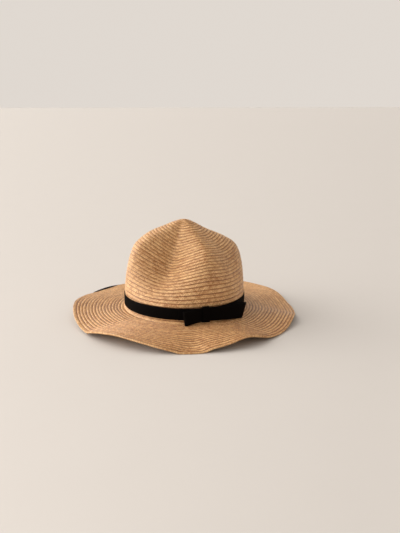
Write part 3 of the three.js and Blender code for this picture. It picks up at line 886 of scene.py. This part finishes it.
def add_brim_edge(draft, faces, outer_row, inner_row):
    """Round the brim's edge off between the two skins"""
    azimuth = np.linspace(0, 360, STRAW_COLUMNS, endpoint=False)
    last = np.full(STRAW_COLUMNS, faces.courses)
    edge = faces.face(azimuth, last)
    outward = edge - faces.face(azimuth, last - 0.5)
    outward /= np.linalg.norm(outward, axis=1)[:, None]
    normal = faces.normal(azimuth, last)
    rows = [outer_row]
    for deep, out in BRIM_EDGE:
        rows.append(len(draft.points))
        ring = edge + outward * out * MM - normal * faces.shape.wall * deep
        ring[:, 2] = np.maximum(ring[:, 2], STRAW_LOWEST)
        draft.points.extend(ring)
    rows.append(inner_row)
    low, high = 0.5, 0.6  # of a course: plain braid, clear of the seams
    for here, there in zip(rows, rows[1:]):
        for c in range(STRAW_COLUMNS):
            k = (c + 1) % STRAW_COLUMNS
            start, end = c / STRAW_COLUMNS, (c + 1) / STRAW_COLUMNS
            corners = (here + c, there + c, there + k, here + k)
            draft.add(corners, [(start, low), (start, high), (end, high), (end, low)])


class HAT_OT_straw_body(bpy.types.Operator):
    """Sew the crown and brim from one spiral of braid, in overlapping courses"""

    bl_idname = "hat.straw_body"
    bl_label = "Straw body"

    def execute(self, context):
        scene = context.scene
        lay = RibbonLay(scene)
        faces, ribbon = lay.faces, lay.ribbon

        def under_ribbon(azimuth, course, points):
            """The ribbon presses the courses under it flat"""
            base = lay.foot + faces.lean(azimuth, faces.foot_radius(azimuth))
            up = (points[..., 2] - base) / ribbon.width
            inside = (course < faces.crown_courses + 0.3) & (up > 0.02) & (up < 0.97)
            return np.where(inside, PRESSED, 1.0)

        draft = Draft()
        outside = spiral_skin(faces, COURSE_OUTSIDE, 0.0, under_ribbon)
        inside = spiral_skin(faces, COURSE_INSIDE, faces.shape.wall, lambda *_: 1.0)
        outer_row = add_skin(draft, outside, COURSE_OUTSIDE)
        inner_row = add_skin(draft, inside, COURSE_INSIDE)
        add_brim_edge(draft, faces, outer_row, inner_row)
        piece = draft.finish("straw_braid", straw_material(scene.hat_finish, scene.hat_shape))
        stand_for(piece, "straw_body")
        return {"FINISHED"}


def ribbon_piece(name, path, across, to_space, thickness, material):
    """A ribbon along a path of (a, b) points: across gives its two edges, to_space maps it into space"""
    path = np.array(path, float)
    slope = np.gradient(path, axis=0)
    slope /= np.linalg.norm(slope, axis=1)[:, None]
    normal = np.stack([-slope[:, 1], slope[:, 0]], 1) * thickness / 2
    rows = 10
    shares = np.linspace(0, 1, rows + 1)
    shares = np.concatenate((shares, shares[::-1]))
    face = np.repeat((-1.0, 1.0), rows + 1)
    low, high = across(path[:, 0])
    spots = low[:, None] + (high - low)[:, None] * shares
    corner = path[:, None, :] + normal[:, None, :] * face[:, None]
    rings = to_space(corner[..., 0], corner[..., 1], spots)
    widths = list(shares * (high - low)[0]) + [0.0]
    return swept(name, rings, run_along(path), widths, material)


class HAT_OT_ribbon(bpy.types.Operator):
    """Lay the grosgrain ribbon round the crown and lap its end"""

    bl_idname = "hat.ribbon"
    bl_label = "Ribbon"

    def execute(self, context):
        lay = RibbonLay(context.scene)
        material = ribbon_material(context.scene.hat_finish)
        self.lay_band(lay, material)
        self.lay_end(lay, material)
        return {"FINISHED"}

    def lay_band(self, lay, material):
        ribbon = lay.ribbon
        rows = 8
        azimuth = np.linspace(0, 360, RIBBON_COLUMNS, endpoint=False)
        ring = [(i / rows, RIBBON_FACE - ribbon.thickness) for i in range(rows + 1)]
        ring += [(i / rows, RIBBON_FACE) for i in range(rows, -1, -1)]
        grid = np.stack([lay.off_crown(azimuth, up, standoff) for up, standoff in ring], 1)
        size = len(ring)
        draft = Draft(grid.reshape(-1, 3))
        run = run_along(np.concatenate((grid[:, -1], grid[:1, -1])))
        for i in range(RIBBON_COLUMNS):
            here, ahead = i * size, (i + 1) % RIBBON_COLUMNS * size
            for j in range(size):
                k = (j + 1) % size
                heights = ring[j][0] * ribbon.width, ring[k][0] * ribbon.width
                draft.add_patch((here + j, ahead + j, ahead + k, here + k), run[i : i + 2], heights)
        band = draft.finish("crown_ribbon", material)
        stand_for(band, "ribbon_band")

    def lay_end(self, lay, material):
        ribbon = lay.ribbon
        start = ribbon.knot_width / 2
        path = [(a, lay.lap) for a in np.linspace(start, -ribbon.lap_length, 40)]

        def full_width(a):
            return 0 * a, 0 * a + ribbon.width

        end = ribbon_piece("ribbon_end", path, full_width, lay.to_space, ribbon.thickness, material)
        stand_for(end, "ribbon_lap")


class HAT_OT_bow(bpy.types.Operator):
    """Fold the flat bow's two loops and wrap its knot"""

    bl_idname = "hat.bow"
    bl_label = "Bow"

    def execute(self, context):
        lay = RibbonLay(context.scene)
        ribbon = lay.ribbon
        material = ribbon_material(context.scene.hat_finish)
        rear, rear_flat = self.fold_loop("bow_rear", ribbon.rear_length, lay, material)
        front, front_flat = self.fold_loop("bow_front", ribbon.front_length, lay, material)
        knot = self.wrap_knot(lay, material)
        for piece, node in ((rear, "bow_loop_rear"), (front, "bow_loop_front"), (knot, "bow_knot")):
            stand_for(piece, node)
        return {"FINISHED"}

    def fold_loop(self, name, size, lay, material):
        """One loop and its flat size: it flares off the crown, droops and is folded on a slant"""
        side, *form = BOW_LOOPS[name]
        flare, droop, slant = (amount * MM for amount in form)
        ribbon = lay.ribbon
        middle = ribbon.width / 2
        straight = size - ribbon.loop_opening / 2
        parts = np.linspace(0, 1, 40)
        spots = ribbon.gap + (straight - ribbon.gap) * parts
        centre = lay.lap + 1.5 * lay.pitch + flare * parts**1.6
        half_gap = (lay.pitch + (ribbon.loop_opening - lay.pitch) * parts**2) / 2
        bend = half_gap[-1]
        turns = np.linspace(-math.pi / 2, math.pi / 2, 12)[1:-1]
        path = [
            *zip(spots, centre - half_gap),
            *((straight + bend * math.cos(t), centre[-1] + bend * math.sin(t)) for t in turns),
            *zip(spots[::-1], (centre + half_gap)[::-1]),
        ]

        def across(a):
            hang = droop * np.maximum(a / size, 0) ** 1.5
            return middle - ribbon.bow_width / 2 - hang, middle + ribbon.bow_width / 2 - hang

        def to_space(a, b, height):
            lengthen = 1 + slant * (height - middle) / (size * ribbon.bow_width)
            return lay.to_space(side * a * lengthen, b, height)

        piece = ribbon_piece(name, path, across, to_space, ribbon.thickness, material)
        return piece, (ribbon.bow_width, 2 * straight + math.pi * bend)

    def wrap_knot(self, lay, material):
        """The wrap goes over both loops, from the bow's lower side to its upper side"""
        ribbon = lay.ribbon
        middle = ribbon.width / 2
        reach = ribbon.bow_width / 2 + ribbon.gap + ribbon.layer
        top = lay.lap + 3 * lay.pitch + ribbon.gap
        corner = ribbon.layer
        flank = [
            (reach, lay.lap + ribbon.layer),
            (reach, top - 1.4 * corner),
            (reach - 0.4 * corner, top - 0.4 * corner),
            (reach - 1.4 * corner, top),
        ]
        path = [(middle - out, up, 0) for out, up in flank]
        path.append((middle, top + ribbon.layer / 2, 0))
        path += [(middle + out, up, 0) for out, up in reversed(flank)]
        dense, _ = catmull_rom(path, 36)
        half = ribbon.knot_width / 2

        def across(a):
            return 0 * a - half, 0 * a + half

        def to_space(a, b, round_crown):
            return lay.to_space(round_crown, b, a)

        return ribbon_piece("bow_wrap", dense[:, :2], across, to_space, ribbon.thickness, material)


class HAT_PT_panel(bpy.types.Panel):
    """The hat's pieces"""

    bl_label = "Ribbon hat"
    bl_idname = "HAT_PT_panel"
    bl_space_type = "VIEW_3D"
    bl_region_type = "UI"
    bl_category = "Hat"

    def draw(self, context):
        for operator in OPERATORS:
            self.layout.operator(operator.bl_idname)
        for name in GROUPS:
            box = self.layout.box()
            group = getattr(context.scene, name)
            for key in group.bl_rna.properties.keys():
                if key not in ("rna_type", "name"):
                    box.prop(group, key)


OPERATORS = (HAT_OT_stage, HAT_OT_chin_strap, HAT_OT_straw_body, HAT_OT_ribbon, HAT_OT_bow)
GROUPS = {
    "hat_shape": HatShape,
    "hat_ribbon": RibbonShape,
    "hat_strap": StrapShape,
    "hat_finish": HatFinish,
    "hat_stage": StageSetup,
}


def register():
    for name, group in GROUPS.items():
        bpy.utils.register_class(group)
        setattr(bpy.types.Scene, name, PointerProperty(type=group))
    for operator in (*OPERATORS, HAT_PT_panel):
        bpy.utils.register_class(operator)


def unregister():
    for operator in (HAT_PT_panel, *reversed(OPERATORS)):
        bpy.utils.unregister_class(operator)
    for name, group in reversed(GROUPS.items()):
        delattr(bpy.types.Scene, name)
        bpy.utils.unregister_class(group)


def main():
    register()
    bpy.ops.hat.stage()
    bpy.ops.hat.chin_strap()
    bpy.ops.hat.straw_body()
    bpy.ops.hat.ribbon()
    bpy.ops.hat.bow()


if __name__ == "__main__":
    main()
